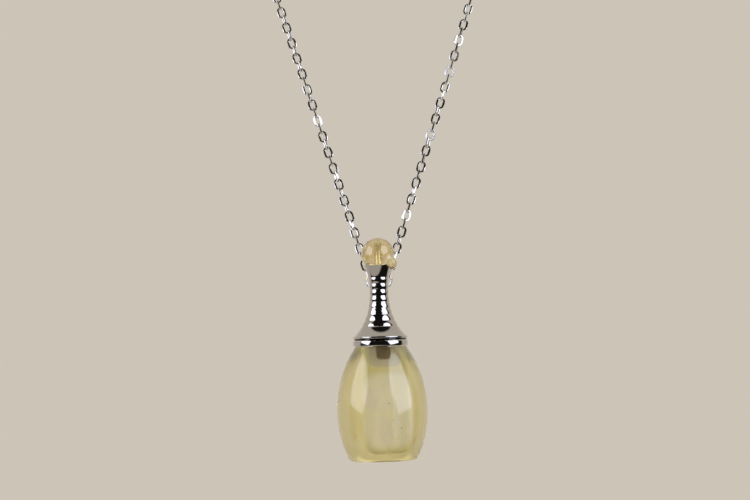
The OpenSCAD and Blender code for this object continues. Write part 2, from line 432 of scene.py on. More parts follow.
@dataclass(frozen=True)
class Zone:
    """An upright cylinder of the pendant, inside which a finish differs.

    Attributes:
        radius: Its radius in millimetres.
        low: Height of its lower end.
        high: Height of its upper end.
        colour: The finish's colour there.
        gloss: Its roughness there, or None where that is the same.
        centre_x: How far right of the pendant's axis the zone stands.
    """

    radius: float
    low: float
    high: float
    colour: str
    gloss: float | None = None
    centre_x: float = 0.0

    def share(self, tree: bpy.types.NodeTree, place: bpy.types.Node) -> bpy.types.Node:
        """Tells whether a place lies in the zone.

        Args:
            tree: The material's tree.
            place: The node with the place on the pendant.

        Returns:
            The node that gives 1 inside the zone and 0 outside it.
        """
        middle, half = (self.low + self.high) / 2, (self.high - self.low) / 2
        height = add_node(tree, "SeparateXYZ", {0: place}).outputs["Z"]
        level = add_node(tree, "Math", {0: height, 1: middle, 2: half}, operation="COMPARE")
        from_axis = add_node(tree, "VectorMath", {0: place, 1: (self.centre_x, 0, 0)}, operation="SUBTRACT")
        flat = add_node(tree, "VectorMath", {0: from_axis, 1: (1, 1, 0)}, operation="MULTIPLY")
        out = add_node(tree, "VectorMath", {0: flat}, operation="LENGTH")
        near = add_node(tree, "Math", {0: out, 1: self.radius}, operation="LESS_THAN")
        return add_node(tree, "Math", {0: level, 1: near}, operation="MULTIPLY")


@dataclass(frozen=True)
class Stone:
    """Translucent quartz, cut and polished: a clear hard gloss over a body that light passes through.

    Attributes:
        name: The material's name.
        body: Colour of the haze in the stone.
        cloud: Colour of the paler clouds in it.
        tint: Colour that light keeps on its way through the stone.
        tint_density: How fast the tint takes hold, for each metre.
        clear: Share of the light that passes through instead of scattering.
        clear_top: That share near the shoulder.
        top: Heights between which the stone clears, or None where it stays the same.
        haze: Roughness of what is seen through the stone.
        glow: Share of the haze that spreads light inside the stone instead of scattering it at once.
        gloss: Roughness of the polish.
        cloud_size: Width of a cloud in millimetres.
        ripple: Waves for each millimetre that a polishing wheel leaves.
        bore: The ground wall of a drilled bore, or None where there is none.
        bore_clear: Share of the light that passes through that wall.
        marks: Grains, stains, hazy places, painted shade and painted light on the surface.
    """

    name: str
    body: str
    cloud: str
    tint: str
    tint_density: float
    clear: float
    clear_top: float = 1.0
    top: tuple[float, float] | None = None
    haze: float = 0.0
    glow: float = 0.0
    gloss: float = 0.03
    cloud_size: float = 6.0
    ripple: float = 0.35
    bore: Zone | None = None
    bore_clear: float = 1.0
    marks: tuple[Mark, ...] = ()

    def make(self, hanging: Hanging) -> bpy.types.Material:
        """Builds the material.

        Args:
            hanging: The pendant's place, which its patterns follow.

        Returns:
            The material.
        """
        material, tree = blank_material(self.name)
        place = own_coordinates(tree, hanging)
        clouds = add_node(tree, "TexNoise", {"Vector": place, "Scale": 1 / self.cloud_size, "Detail": 3.0})
        colour = add_node(tree, "Mix", {0: clouds, 6: self.body, 7: self.cloud}, data_type="RGBA")
        haze = self.haze
        clear = self.clear
        if self.top:
            height = add_node(tree, "SeparateXYZ", {0: place}).outputs["Z"]
            ends = {1: self.top[0], 2: self.top[1], 3: self.clear, 4: self.clear_top}
            clear = add_node(tree, "MapRange", {0: height, **ends})
        if self.bore:
            bore = self.bore.share(tree, place)
            colour = add_node(tree, "Mix", {0: bore, 6: colour, 7: self.bore.colour}, data_type="RGBA")
            haze = add_node(tree, "MapRange", {0: bore, 3: self.haze, 4: self.bore.gloss})
            clear = add_node(tree, "MapRange", {0: bore, 3: clear, 4: self.bore_clear})
        # From inside the surface is clear, so the haze counts only on the way in. Marks count both ways.
        inside = add_node(tree, "NewGeometry").outputs["Backfacing"]
        clear = add_node(tree, "Math", {0: clear, 1: inside}, operation="MAXIMUM")
        for mark in self.marks:
            share = mark.share(tree, place)
            colour = add_node(tree, "Mix", {0: share, 6: colour, 7: mark.colour}, data_type="RGBA")
            if mark.opaque:
                passed = add_node(tree, "MapRange", {0: share, 3: 1.0, 4: 1.0 - mark.opaque})
                clear = add_node(tree, "Math", {0: clear, 1: passed}, operation="MULTIPLY")
        waves = add_node(tree, "TexNoise", {"Vector": place, "Scale": self.ripple, "Detail": 1.0})
        bump = add_node(tree, "Bump", {"Height": waves, "Strength": 0.04, "Distance": 0.0004})
        shader = add_node(
            tree,
            "BsdfPrincipled",
            {
                "Base Color": colour,
                "Roughness": haze,
                "IOR": QUARTZ_IOR,
                "Specular IOR Level": 0.15,
                "Transmission Weight": clear,
                "Subsurface Weight": self.glow,
                "Subsurface Radius": (1.0, 0.9, 0.45),
                "Subsurface Scale": 0.003,
                "Coat Weight": 1.0,
                "Coat Roughness": self.gloss,
                "Coat IOR": QUARTZ_IOR,
                "Normal": bump,
                "Coat Normal": bump,
            },
        )
        tint = add_node(tree, "VolumeAbsorption", {"Color": self.tint, "Density": self.tint_density})
        add_node(tree, "OutputMaterial", {"Surface": shader, "Volume": tint})
        return material


@dataclass(frozen=True)
class Plating:
    """Bright metal plating on brass: a mirror with the faint unevenness of a polishing wheel.

    Attributes:
        name: The material's name.
        colour: Its reflected colour.
        gloss: Roughness where the plating is cleanest.
        smear: Roughness where fingers have touched it.
        touched: Heights of the noise between which it goes from clean to smeared.
        smear_size: Width of a smear in millimetres.
        ripple: Waves for each millimetre that the polishing wheel leaves.
        zones: Where painted shade darkens it, in the groove and on the stem, and where glue covers it.
    """

    name: str
    colour: str
    gloss: float = 0.05
    smear: float = 0.12
    touched: tuple[float, float] = (0.35, 0.75)
    smear_size: float = 1.25
    ripple: float = 2.5
    zones: tuple[Zone, ...] = ()

    def make(self, hanging: Hanging) -> bpy.types.Material:
        """Builds the material.

        Args:
            hanging: The pendant's place, which its patterns follow.

        Returns:
            The material.
        """
        material, tree = blank_material(self.name)
        place = own_coordinates(tree, hanging)
        smears = add_node(tree, "TexNoise", {"Vector": place, "Scale": 1 / self.smear_size, "Detail": 4.0})
        ends = {1: self.touched[0], 2: self.touched[1], 3: self.gloss, 4: self.smear}
        gloss = add_node(tree, "MapRange", {0: smears, **ends})
        colour = self.colour
        for zone in self.zones:
            share = zone.share(tree, place)
            colour = add_node(tree, "Mix", {0: share, 6: colour, 7: zone.colour}, data_type="RGBA")
            if zone.gloss is not None:
                gloss = add_node(tree, "MapRange", {0: share, 3: gloss, 4: zone.gloss})
        waves = add_node(tree, "TexNoise", {"Vector": place, "Scale": self.ripple, "Detail": 2.0})
        bump = add_node(tree, "Bump", {"Height": waves, "Strength": 0.05, "Distance": 0.00005})
        mirror = {"Base Color": colour, "Metallic": 1.0, "Roughness": gloss, "Normal": bump}
        add_node(tree, "OutputMaterial", {"Surface": add_node(tree, "BsdfPrincipled", mirror)})
        return material


@dataclass(frozen=True)
class Silicone:
    """Moulded translucent silicone rubber: soft grey with a waxy sheen.

    Attributes:
        name: The material's name.
        colour: Its colour.
        pale: Colour of its paler grains.
        grain: Grains for each millimetre.
    """

    name: str = "moulded silicone"
    colour: str = "#A9A69C"
    pale: str = "#B8B5AA"
    grain: float = 3.0

    def make(self, hanging: Hanging) -> bpy.types.Material:
        """Builds the material.

        Args:
            hanging: The pendant's place, which its patterns follow.

        Returns:
            The material.
        """
        material, tree = blank_material(self.name)
        place = own_coordinates(tree, hanging)
        grains = add_node(tree, "TexNoise", {"Vector": place, "Scale": self.grain, "Detail": 3.0})
        colour = add_node(tree, "Mix", {0: grains, 6: self.colour, 7: self.pale}, data_type="RGBA")
        wax = {"Base Color": colour, "Roughness": 0.4, "Subsurface Weight": 0.4, "Subsurface Scale": 0.001}
        add_node(tree, "OutputMaterial", {"Surface": add_node(tree, "BsdfPrincipled", wax)})
        return material


def hand_over(
    piece: bpy.types.Object,
    finish: bpy.types.Material,
    body: Body,
    nodes: Sequence[str],
) -> None:
    """Dresses a finished piece and gives it to the frame.

    Args:
        piece: The piece, in its place.
        finish: Its material.
        body: The body that it rides on.
        nodes: The frame's nodes that it stands for.
    """
    piece.data.materials.clear()
    piece.data.materials.append(finish)
    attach(piece, body.value)
    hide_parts(*nodes)
    log.info("%s: %d faces on %s", piece.name, len(piece.data.polygons), body.value)


@dataclass
class Flask:
    """The drilled stone bottle and the metal collar glued on its shoulder.

    The heights that end in _z, and the vial's floor, are above the bottle's base.
    """

    hanging: Hanging
    belly_d: float = 21.6
    belly_z: float = 11.7
    bottle_h: float = 26.8
    shoulder_d: float = 12.2
    base_d: float = 15.8
    base_edge_r: float = 1.4
    vial_d: float = 6.8
    vial_floor: float = 3.0
    vial_edge_r: float = 1.8
    vial_offset: float = 0.7
    glue_gap: float = 0.08
    collar_d: float = 13.1
    collar_h: float = 1.3
    mouth_d: float = 6.2
    collar_edge_r: float = 0.35
    broken_edge: float = 0.06

    def __post_init__(self) -> None:
        """Works out the heights of the collar's underside and top."""
        self.collar_z = self.bottle_h + self.glue_gap
        self.collar_top_z = self.collar_z + self.collar_h

    def stone_outline(self) -> Outline:
        """Draws the outside of the stone.

        Returns:
            Points from the middle of its base to the edge of its shoulder.
        """
        belly_r = self.belly_d / 2
        above = self.bottle_h - self.belly_z

        def arc_radius(in_by: float, up_by: float) -> float:
            """Radius of the arc that is upright at the belly and passes in_by inside it, up_by away."""
            return (in_by**2 + up_by**2) / (2 * in_by)

        upper_r = arc_radius((self.belly_d - self.shoulder_d) / 2, above)
        lower_r = arc_radius((self.belly_d - self.base_d) / 2, self.belly_z)
        reach = lower_r - self.base_edge_r
        rise = self.belly_z - self.base_edge_r
        edge_centre = (belly_r - lower_r + math.sqrt(reach**2 - rise**2), self.base_edge_r)
        edge_angle = -math.degrees(math.asin(rise / reach))
        shoulder_angle = math.degrees(math.asin(above / upper_r))
        return [
            (0.0, 0.0),
            (edge_centre[0] / 2, 0.0),
            *arc(edge_centre, self.base_edge_r, -90, edge_angle, 12),
            *arc((belly_r - lower_r, self.belly_z), lower_r, edge_angle, 0, 24)[1:],
            *arc((belly_r - upper_r, self.belly_z), upper_r, 0, shoulder_angle, 32)[1:],
        ]

    def vial_outline(self) -> Outline:
        """Draws the drilled vial.

        Returns:
            Points from its mouth down to the middle of its floor.
        """
        radius = self.vial_d / 2
        edge_centre = (radius - self.vial_edge_r, self.vial_floor + self.vial_edge_r)
        edge = arc(edge_centre, self.vial_edge_r, 0, -90, 12)
        depth = self.bottle_h - edge[0][1]
        wall = [(radius, self.bottle_h - depth * share) for share in even_shares(12)]
        return [*wall, *edge[1:], (0.0, self.vial_floor)]

    def bottle(self) -> bpy.types.Object:
        """Turns the stone and its vial, and bridges the shoulder between them.

        Returns:
            The drilled bottle, closed all over.
        """
        outside = lathe("stone_bottle", self.stone_outline())
        vial = lathe("vial", self.vial_outline(), centre_x=self.vial_offset)
        pick_up(outside, vial)
        bpy.ops.object.join()
        bpy.ops.object.mode_set(mode="EDIT")
        select_points(lambda place: place.z > self.bottle_h - HAIR)
        bpy.ops.mesh.bridge_edge_loops()
        bpy.ops.mesh.select_all(action="SELECT")
        bpy.ops.mesh.normals_make_consistent(inside=False)
        bpy.ops.object.mode_set(mode="OBJECT")
        polish(outside)
        settle(outside, self.hanging.matrix())
        return outside

    def collar(self) -> bpy.types.Object:
        """Turns the collar, with a rounded lower edge and a broken upper one.

        Returns:
            The collar.
        """
        outer_r = self.collar_d / 2
        mouth_r = self.mouth_d / 2
        edge_r = self.collar_edge_r
        soft = self.broken_edge
        piece = lathe(
            "collar_ring",
            [
                (mouth_r, self.collar_top_z - soft),
                (mouth_r, self.collar_z),
                *arc((outer_r - edge_r, self.collar_z + edge_r), edge_r, -90, 0, 10),
                *arc((outer_r - soft, self.collar_top_z - soft), soft, 0, 90, 4),
                (mouth_r + soft, self.collar_top_z),
                (mouth_r, self.collar_top_z - soft),
            ],
        )
        polish(piece)
        settle(piece, self.hanging.matrix())
        return piece

    def build(self, stone: bpy.types.Material, plating: bpy.types.Material) -> None:
        """Makes both pieces and hands them over."""
        hand_over(self.bottle(), stone, Body.FLASK, ["bottle"])
        hand_over(self.collar(), plating, Body.FLASK, ["collar"])


@dataclass
class Stopper:
    """The screw cap with its bail and stopper, the seal on its stem and the bead in its cup.

    The spigot and the stem reach their depths below the collar's top, and neck_z and bail_z are above the
    foot of the waist.
    """

    flask: Flask
    groove_h: float = 0.5
    groove_d: float = 12.4
    flange_d: float = 13.0
    flange_h: float = 0.6
    flange_edge_r: float = 0.25
    skirt_foot_d: float = 12.5
    skirt_h: float = 2.2
    skirt_top_d: float = 8.8
    skirt_bend: float = 0.3  # share of the skirt's flare that is curved
    waist_h: float = 11.6
    waist_power: float = 2.4
    neck_d: float = 4.5
    neck_z: float = 8.7
    rib_count: int = 8
    rib_depth: float = 0.12
    rib_steps: int = 14
    cup_h: float = 2.8
    cup_foot_d: float = 4.9
    cup_rim_d: float = 7.0
    cup_power: float = 1.3
    spigot_d: float = 5.7
    spigot_depth: float = 1.2
    thread_depth: float = 0.12
    stem_d: float = 3.5
    stem_depth: float = 4.0
    core_d: float = 1.8
    seal_d: float = 5.2
    seal_h: float = 2.0
    seal_floor: float = 0.6
    seal_edge_r: float = 0.3
    seal_gap: float = 0.05
    seat_gap: float = 0.1  # between the collar's top and the cap
    bead_d: float = 7.9
    bead_sink: float = 1.4  # how far the bead reaches below the cup's rim
    bead_hole_d: float = 1.1
    bead_hole_top: float = 1.9
    lobe_d: float = 3.2
    lobe_out: float = 2.9
    lobe_drop: float = 2.1
    lobe_forward: float = 1.9
    crease: float = 1.2  # how far from both surfaces lobe and bead are blended
    crease_rounds: int = 90
    pin_d: float = 0.9
    pin_gap: float = 0.24  # between the pin's end and the end of the bead's hole
    bail_hole_d: float = 2.9
    bail_wire_d: float = 0.7
    bail_sink: float = 0.15  # how deep the ring is sunk into the waist
    bail_z: float = 7.55

    def __post_init__(self) -> None:
        """Stacks the heights of the parts' lower ends, of the rim, the bead's centre and the seal's top."""
        self.flange_z = self.flask.collar_top_z + self.groove_h
        self.skirt_z = self.flange_z + self.flange_h
        self.waist_z = self.skirt_z + self.skirt_h
        self.cup_z = self.waist_z + self.waist_h
        self.rim_z = self.cup_z + self.cup_h
        self.bead_z = self.rim_z - self.bead_sink + self.bead_d / 2
        self.seal_top_z = self.flask.collar_top_z - self.stem_depth

    def waist_r(self, z: float) -> float:
        """Measures the waist without its ribs.

        Args:
            z: A height between the waist's foot and its top.

        Returns:
            The waist's radius there.
        """
        neck_r = self.neck_d / 2
        neck_z = self.waist_z + self.neck_z
        if z < neck_z:
            return neck_r + (self.skirt_top_d / 2 - neck_r) * ((neck_z - z) / self.neck_z) ** self.waist_power
        return neck_r + (self.cup_foot_d / 2 - neck_r) * ((z - neck_z) / (self.waist_h - self.neck_z)) ** 2

    def stem_outline(self) -> Outline:
        """Draws the stopper below the cap, with the spigot's thread as rings.

        Returns:
            Points from the end of its core up to the groove.
        """
        top = self.flask.collar_top_z
        core_z = self.seal_top_z - self.seal_h + self.seal_floor
        rise = self.spigot_depth - self.seat_gap
        thread = [
            (self.spigot_d / 2 - self.thread_depth * (i % 2), top - self.spigot_depth + rise * share)
            for i, share in enumerate(even_shares(8))
        ]
        return [
            (0.0, core_z),
            (self.core_d / 2, core_z),
            (self.core_d / 2, self.seal_top_z),
            (self.stem_d / 2, self.seal_top_z),
            (self.stem_d / 2, top - self.spigot_depth),
            *thread,
            (self.spigot_d / 2, top + self.seat_gap),
        ]

    def cap_outline(self) -> Outline:
        """Draws the cap's outside.

        Returns:
            Points from the groove over flange, skirt and ribs to the rim of the cup.
        """
        edge_x = self.flange_d / 2 - self.flange_edge_r
        skirt_r = self.skirt_top_d / 2
        flare = (self.skirt_foot_d - self.skirt_top_d) / 2
        skirt = []
        for share in even_shares(16):
            down = 1 - share
            out = flare * (self.skirt_bend * down**2 + (1 - self.skirt_bend) * down)
            skirt.append((skirt_r + out, self.skirt_z + self.skirt_h * share))
        ribs = []
        for share in even_shares(self.rib_count * self.rib_steps)[1:]:
            z = self.waist_z + self.waist_h * share
            crest = abs(math.sin(math.pi * self.rib_count * share))
            ribs.append((self.waist_r(z) - self.rib_depth * (1 - crest), z))
        cup_flare = (self.cup_rim_d - self.cup_foot_d) / 2
        cup = [
            (self.cup_foot_d / 2 + cup_flare * share**self.cup_power, self.cup_z + self.cup_h * share)
            for share in even_shares(16)
        ]
        return [
            (self.groove_d / 2, self.flask.collar_top_z + self.seat_gap),
            (self.groove_d / 2, self.flange_z),
            *arc((edge_x, self.flange_z + self.flange_edge_r), self.flange_edge_r, -90, 0, 8),
            *arc((edge_x, self.skirt_z - self.flange_edge_r), self.flange_edge_r, 0, 90, 8),
            *skirt,
            *ribs,
            *cup,
        ]

    def cup_outline(self) -> Outline:
        """Draws the cup's inside, which follows the bead, and the pin in its middle.

        Returns:
            Points from the rim down to the pin's foot and up to the middle of its end.
        """
        seat_r = self.bead_d / 2 + self.flask.glue_gap
        rim_angle = -math.degrees(math.asin((self.bead_z - self.rim_z) / seat_r))
        pin_angle = -math.degrees(math.acos(self.pin_d / 2 / seat_r))
        pin_top = self.bead_z + self.bead_hole_top - self.pin_gap
        seat = arc((0, self.bead_z), seat_r, rim_angle, pin_angle, 20)
        return [*seat, (self.pin_d / 2, pin_top), (0.0, pin_top)]

    def cap(self) -> bpy.types.Object:
        """Turns the cap in one piece with its stem and pin, and solders the bail ring behind the waist.

        Returns:
            The cap.
        """
        cap = lathe("ribbed_cap", [*self.stem_outline(), *self.cap_outline(), *self.cup_outline()])
        height = self.waist_z + self.bail_z
        back = self.waist_r(height) + (self.bail_hole_d + self.bail_wire_d) / 2 - self.bail_sink
        solder_ring(cap, (0, back, height), self.bail_hole_d, self.bail_wire_d, sides=(56, 16))
        polish(cap)
        settle(cap, self.flask.hanging.matrix())
        return cap

    def seal(self) -> bpy.types.Object:
        """Turns the soft plug that is pushed over the stem's core.

        Returns:
            The plug.
        """
        bottom = self.seal_top_z - self.seal_h
        top = self.seal_top_z - self.seal_gap
        edge_r = self.seal_edge_r
        hole_r = self.core_d / 2 + self.seal_gap
        hole_z = bottom + self.seal_floor - self.seal_gap
        edge_x = self.seal_d / 2 - edge_r
        piece = lathe(
            "stem_seal",
            [
                (0.0, bottom),
                *arc((edge_x, bottom + edge_r), edge_r, -90, 0, 8),
                *arc((edge_x, top - edge_r), edge_r, 0, 90, 8),
                (hole_r, top),
                (hole_r, hole_z),
                (0.0, hole_z),
            ],
            steps=96,
        )
        polish(piece)
        settle(piece, self.flask.hanging.matrix())
        return piece

    def bead(self) -> bpy.types.Object:
        """Turns the bead with its blind hole, and blends in the small lobe, which clears the cup's rim.

        Returns:
            The bead.
        """
        radius = self.bead_d / 2
        hole_r = self.bead_hole_d / 2
        hole_angle = -math.degrees(math.acos(hole_r / radius))
        bead = lathe(
            "stone_bead",
            [
                *arc((0, self.bead_z), radius, 90, hole_angle, 56),
                (hole_r, self.bead_z + self.bead_hole_top),
                (0.0, self.bead_z + self.bead_hole_top),
            ],
            steps=112,
        )
        centre = Vector((0, 0, self.bead_z))
        lobe_centre = Vector((self.lobe_out, -self.lobe_forward, self.bead_z - self.lobe_drop))
        clear_selection()
        bpy.ops.mesh.primitive_uv_sphere_add(
            segments=56, ring_count=28, radius=self.lobe_d / 2, location=lobe_centre
        )
        lobe = bpy.context.object
        settle(lobe)
        clear_selection()
        gap = self.flask.glue_gap
        bpy.ops.mesh.primitive_cylinder_add(
            vertices=96,
            radius=self.cup_rim_d / 2 + gap,
            depth=self.cup_h + gap,
            location=(0, 0, self.cup_z + (self.cup_h + gap) / 2),
        )
        notch = bpy.context.object
        settle(notch)
        work(lobe, notch, Cut.DRILL)
        work(bead, lobe, Cut.SOLDER)
        bpy.ops.object.mode_set(mode="EDIT")
        select_points(
            lambda place: abs((place - centre).length - radius) < self.crease
            and abs((place - lobe_centre).length - self.lobe_d / 2) < self.crease
        )
        bpy.ops.mesh.vertices_smooth(factor=0.5, repeat=self.crease_rounds)
        bpy.ops.object.mode_set(mode="OBJECT")
        polish(bead, angle=50)
        settle(bead, self.flask.hanging.matrix())
        return bead

    def build(
        self, plating: bpy.types.Material, rubber: bpy.types.Material, stone: bpy.types.Material
    ) -> None:
        """Makes the three pieces and hands them over.

        Args:
            plating: The cap's finish.
            rubber: The seal's.
            stone: The bead's.
        """
        hand_over(self.cap(), plating, Body.STOPPER, ["cap"])
        hand_over(self.seal(), rubber, Body.STOPPER, ["seal"])
        hand_over(self.bead(), stone, Body.STOPPER, ["bead"])


@dataclass
class Necklace:
    """The cable chain and its barrel clasp."""

    link_wire: float = 0.42
    side_wire: float = 0.54
    link_w: float = 2.2
    link_edge: float = 0.1
    link_sides: int = 20
    twist: float = 20.0  # degrees, the most that a link turns about its own length
    sway: tuple[float, float] = (2.4, 1.1)  # how fast that turn changes from link to link
    calm: float = 4.0  # links this near the bail aren't twisted
    touch: float = 0.02  # a point of a link this near its hole lies on it
    clasp_l: float = 9.0
    clasp_d: float = 4.0
    clasp_end_l: float = 1.6
    clasp_flat: float = 0.3
    parting: float = 0.12  # depth of the line where the clasp's halves meet
    eye_hole_d: float = 1.6
    eye_wire_d: float = 0.6

    def link_places(self) -> list[tuple[Matrix, float]]:
        """Finds each link of the frame's chain.

        Returns:
            For each link its place, with X along it and Z through its hole, and its length in millimetres.
        """
        mesh = bmesh.new()
        mesh.from_mesh(frame["nodes"]["chain"].data)
        bmesh.ops.remove_doubles(mesh, verts=mesh.verts, dist=1e-6)
        found = []
        left = set(mesh.verts)
        while left:
            island, edge = set(), [next(iter(left))]
            while edge:
                point = edge.pop()
                if point in island:
                    continue
                island.add(point)
                edge += [e.other_vert(point) for e in point.link_edges]
            left -= island
            found.append(self.place_of(np.array(sorted(tuple(point.co) for point in island))))
        mesh.free()
        return sorted(found, key=lambda place: (place[0].translation.x, place[0].translation.z))

    @staticmethod
    def place_of(points: np.ndarray) -> tuple[Matrix, float]:
        """Finds how one link lies.

        Args:
            points: Its points, one to a row.

        Returns:
            Its place, with X along it and Z through its hole, and its length in millimetres.
        """
        middle = (points.min(axis=0) + points.max(axis=0)) / 2
        spread = np.linalg.eigh(np.cov((points - middle).T))[1]
        through, along = Vector(spread[:, 0]), Vector(spread[:, 2])
        if along.z < 0:
            along.negate()
        across = through.cross(along)
        shares = (points - middle) @ np.array([along, across, through]).T
        centre = Vector(middle) + Matrix((along, across, through)).transposed() @ Vector(
            (shares.min(axis=0) + shares.max(axis=0)) / 2
        )
        length = float(np.ptp(shares[:, 0])) / MM
        turn = Matrix((along, across, through)).transposed().to_4x4()
        return Matrix.Translation(centre) @ turn @ Matrix.Scale(MM, 4), length

    def link(self, length: float) -> bpy.types.Object:
        """Models one link: a flat-faced ring, round at both ends and wider along its sides.

        Args:
            length: The link's whole length.

        Returns:
            The link, lying flat with its length along X.
        """
        clear_selection()
        bpy.ops.mesh.primitive_cylinder_add(
            vertices=self.link_sides, radius=self.link_w / 2, depth=self.link_wire, end_fill_type="NGON"
        )
        link = bpy.context.object
        bpy.ops.object.mode_set(mode="EDIT")
        half = (length - self.link_w) / 2
        for side in (-1, 1):
            select_points(lambda place: place.x * side > HAIR)
            bpy.ops.transform.translate(value=(side * half, 0, 0))
        bpy.ops.mesh.select_mode(type="FACE")
        bpy.ops.mesh.select_all(action="DESELECT")
        mesh = bmesh.from_edit_mesh(link.data)
        for face in mesh.faces:
            face.select_set(round(abs(face.normal.z)) == 1)
        bmesh.update_edit_mesh(link.data)
        bpy.ops.mesh.inset(thickness=self.link_wire)
        bpy.ops.mesh.delete(type="ONLY_FACE")
        inner = self.link_w / 2 - self.link_wire

        def in_hole(place: Vector) -> bool:
            """Tells whether a place lies on the link's hole."""
            return abs(place.y) < inner + self.touch and abs(place.x) < half + inner + self.touch

        select_points(in_hole)
        bpy.ops.mesh.bridge_edge_loops()
        select_points(in_hole)
        bpy.ops.transform.resize(value=(1, (self.link_w / 2 - self.side_wire) / inner, 1))
        bpy.ops.mesh.select_all(action="SELECT")
        bpy.ops.mesh.normals_make_consistent(inside=False)
        bpy.ops.object.mode_set(mode="OBJECT")
        finish_modifier(
            link, "BEVEL", width=self.link_edge, segments=1, limit_method="ANGLE", angle_limit=1.0
        )
        polish(link, angle=40)
        finish_modifier(link, "WEIGHTED_NORMAL", keep_sharp=True)
        return link

    def chain(self, bail: Vector) -> bpy.types.Object:
        """Copies the link to each place of the frame's chain, with a small twist of its own.

        Args:
            bail: Where the pendant hangs, whose link isn't twisted.

        Returns:
            All links as one piece.
        """
        places = self.link_places()
        model = self.link(sum(length for _, length in places) / len(places))
        links = []
        for number, (place, _) in enumerate(places):
            link = model.copy()
            link.data = model.data.copy()
            bpy.context.collection.objects.link(link)
            near = (place.translation - bail).length < self.calm * MM
            swirl = 0.0 if near else math.sin(self.sway[0] * number) * math.cos(self.sway[1] * number)
            angle = math.radians(self.twist) * swirl
            link.matrix_world = place @ Matrix.Rotation(angle, 4, "X")
            links.append(link)
        bpy.data.objects.remove(model)
        pick_up(*links)
        bpy.ops.object.join()
        chain = bpy.context.object
        chain.name = "cable_chain"
        settle(chain)
        return chain

    def clasp(self) -> bpy.types.Object:
        """Turns the barrel with its parting line and solders an eye on each end.

        Returns:
            The clasp, where the frame has it.
        """
        radius = self.clasp_d / 2
        half = self.clasp_l / 2
        flat = self.clasp_flat
        end = [
            (radius * (flat + (1 - flat) * out), self.clasp_end_l * (1 + up))
            for out, up in arc((0, 0), 1, -90, 0, 12)
        ]
        barrel = lathe(
            "barrel_clasp",
            [
                (0.0, -half),
                *[(out, -half + up) for out, up in end],
                (radius, -self.parting),
                (radius - self.parting, 0.0),
                (radius, self.parting),
                *[(out, half - up) for out, up in reversed(end)],
                (0.0, half),
            ],
            steps=96,
        )
        for side in (-1, 1):
            centre = (0, 0, side * (half + self.eye_hole_d / 2))
            solder_ring(barrel, centre, self.eye_hole_d, self.eye_wire_d, sides=(40, 14))
        polish(barrel)
        low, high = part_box("clasp")
        lay_down = Matrix.Rotation(math.pi / 2, 4, "Y") @ Matrix.Scale(MM, 4)
        settle(barrel, Matrix.Translation((low + high) / 2) @ lay_down)
        return barrel

    def build(self, plating: bpy.types.Material) -> None:
        """Makes both pieces and hands them over.

        Args:
            plating: Their finish.
        """
        swing = next(joint for joint in frame["joints"] if joint["name"] == "pendant_swing")
        hand_over(self.chain(Vector(swing["pos_m"])), plating, Body.NECKLACE, ["chain"])
        hand_over(self.clasp(), plating, Body.NECKLACE, ["clasp"])


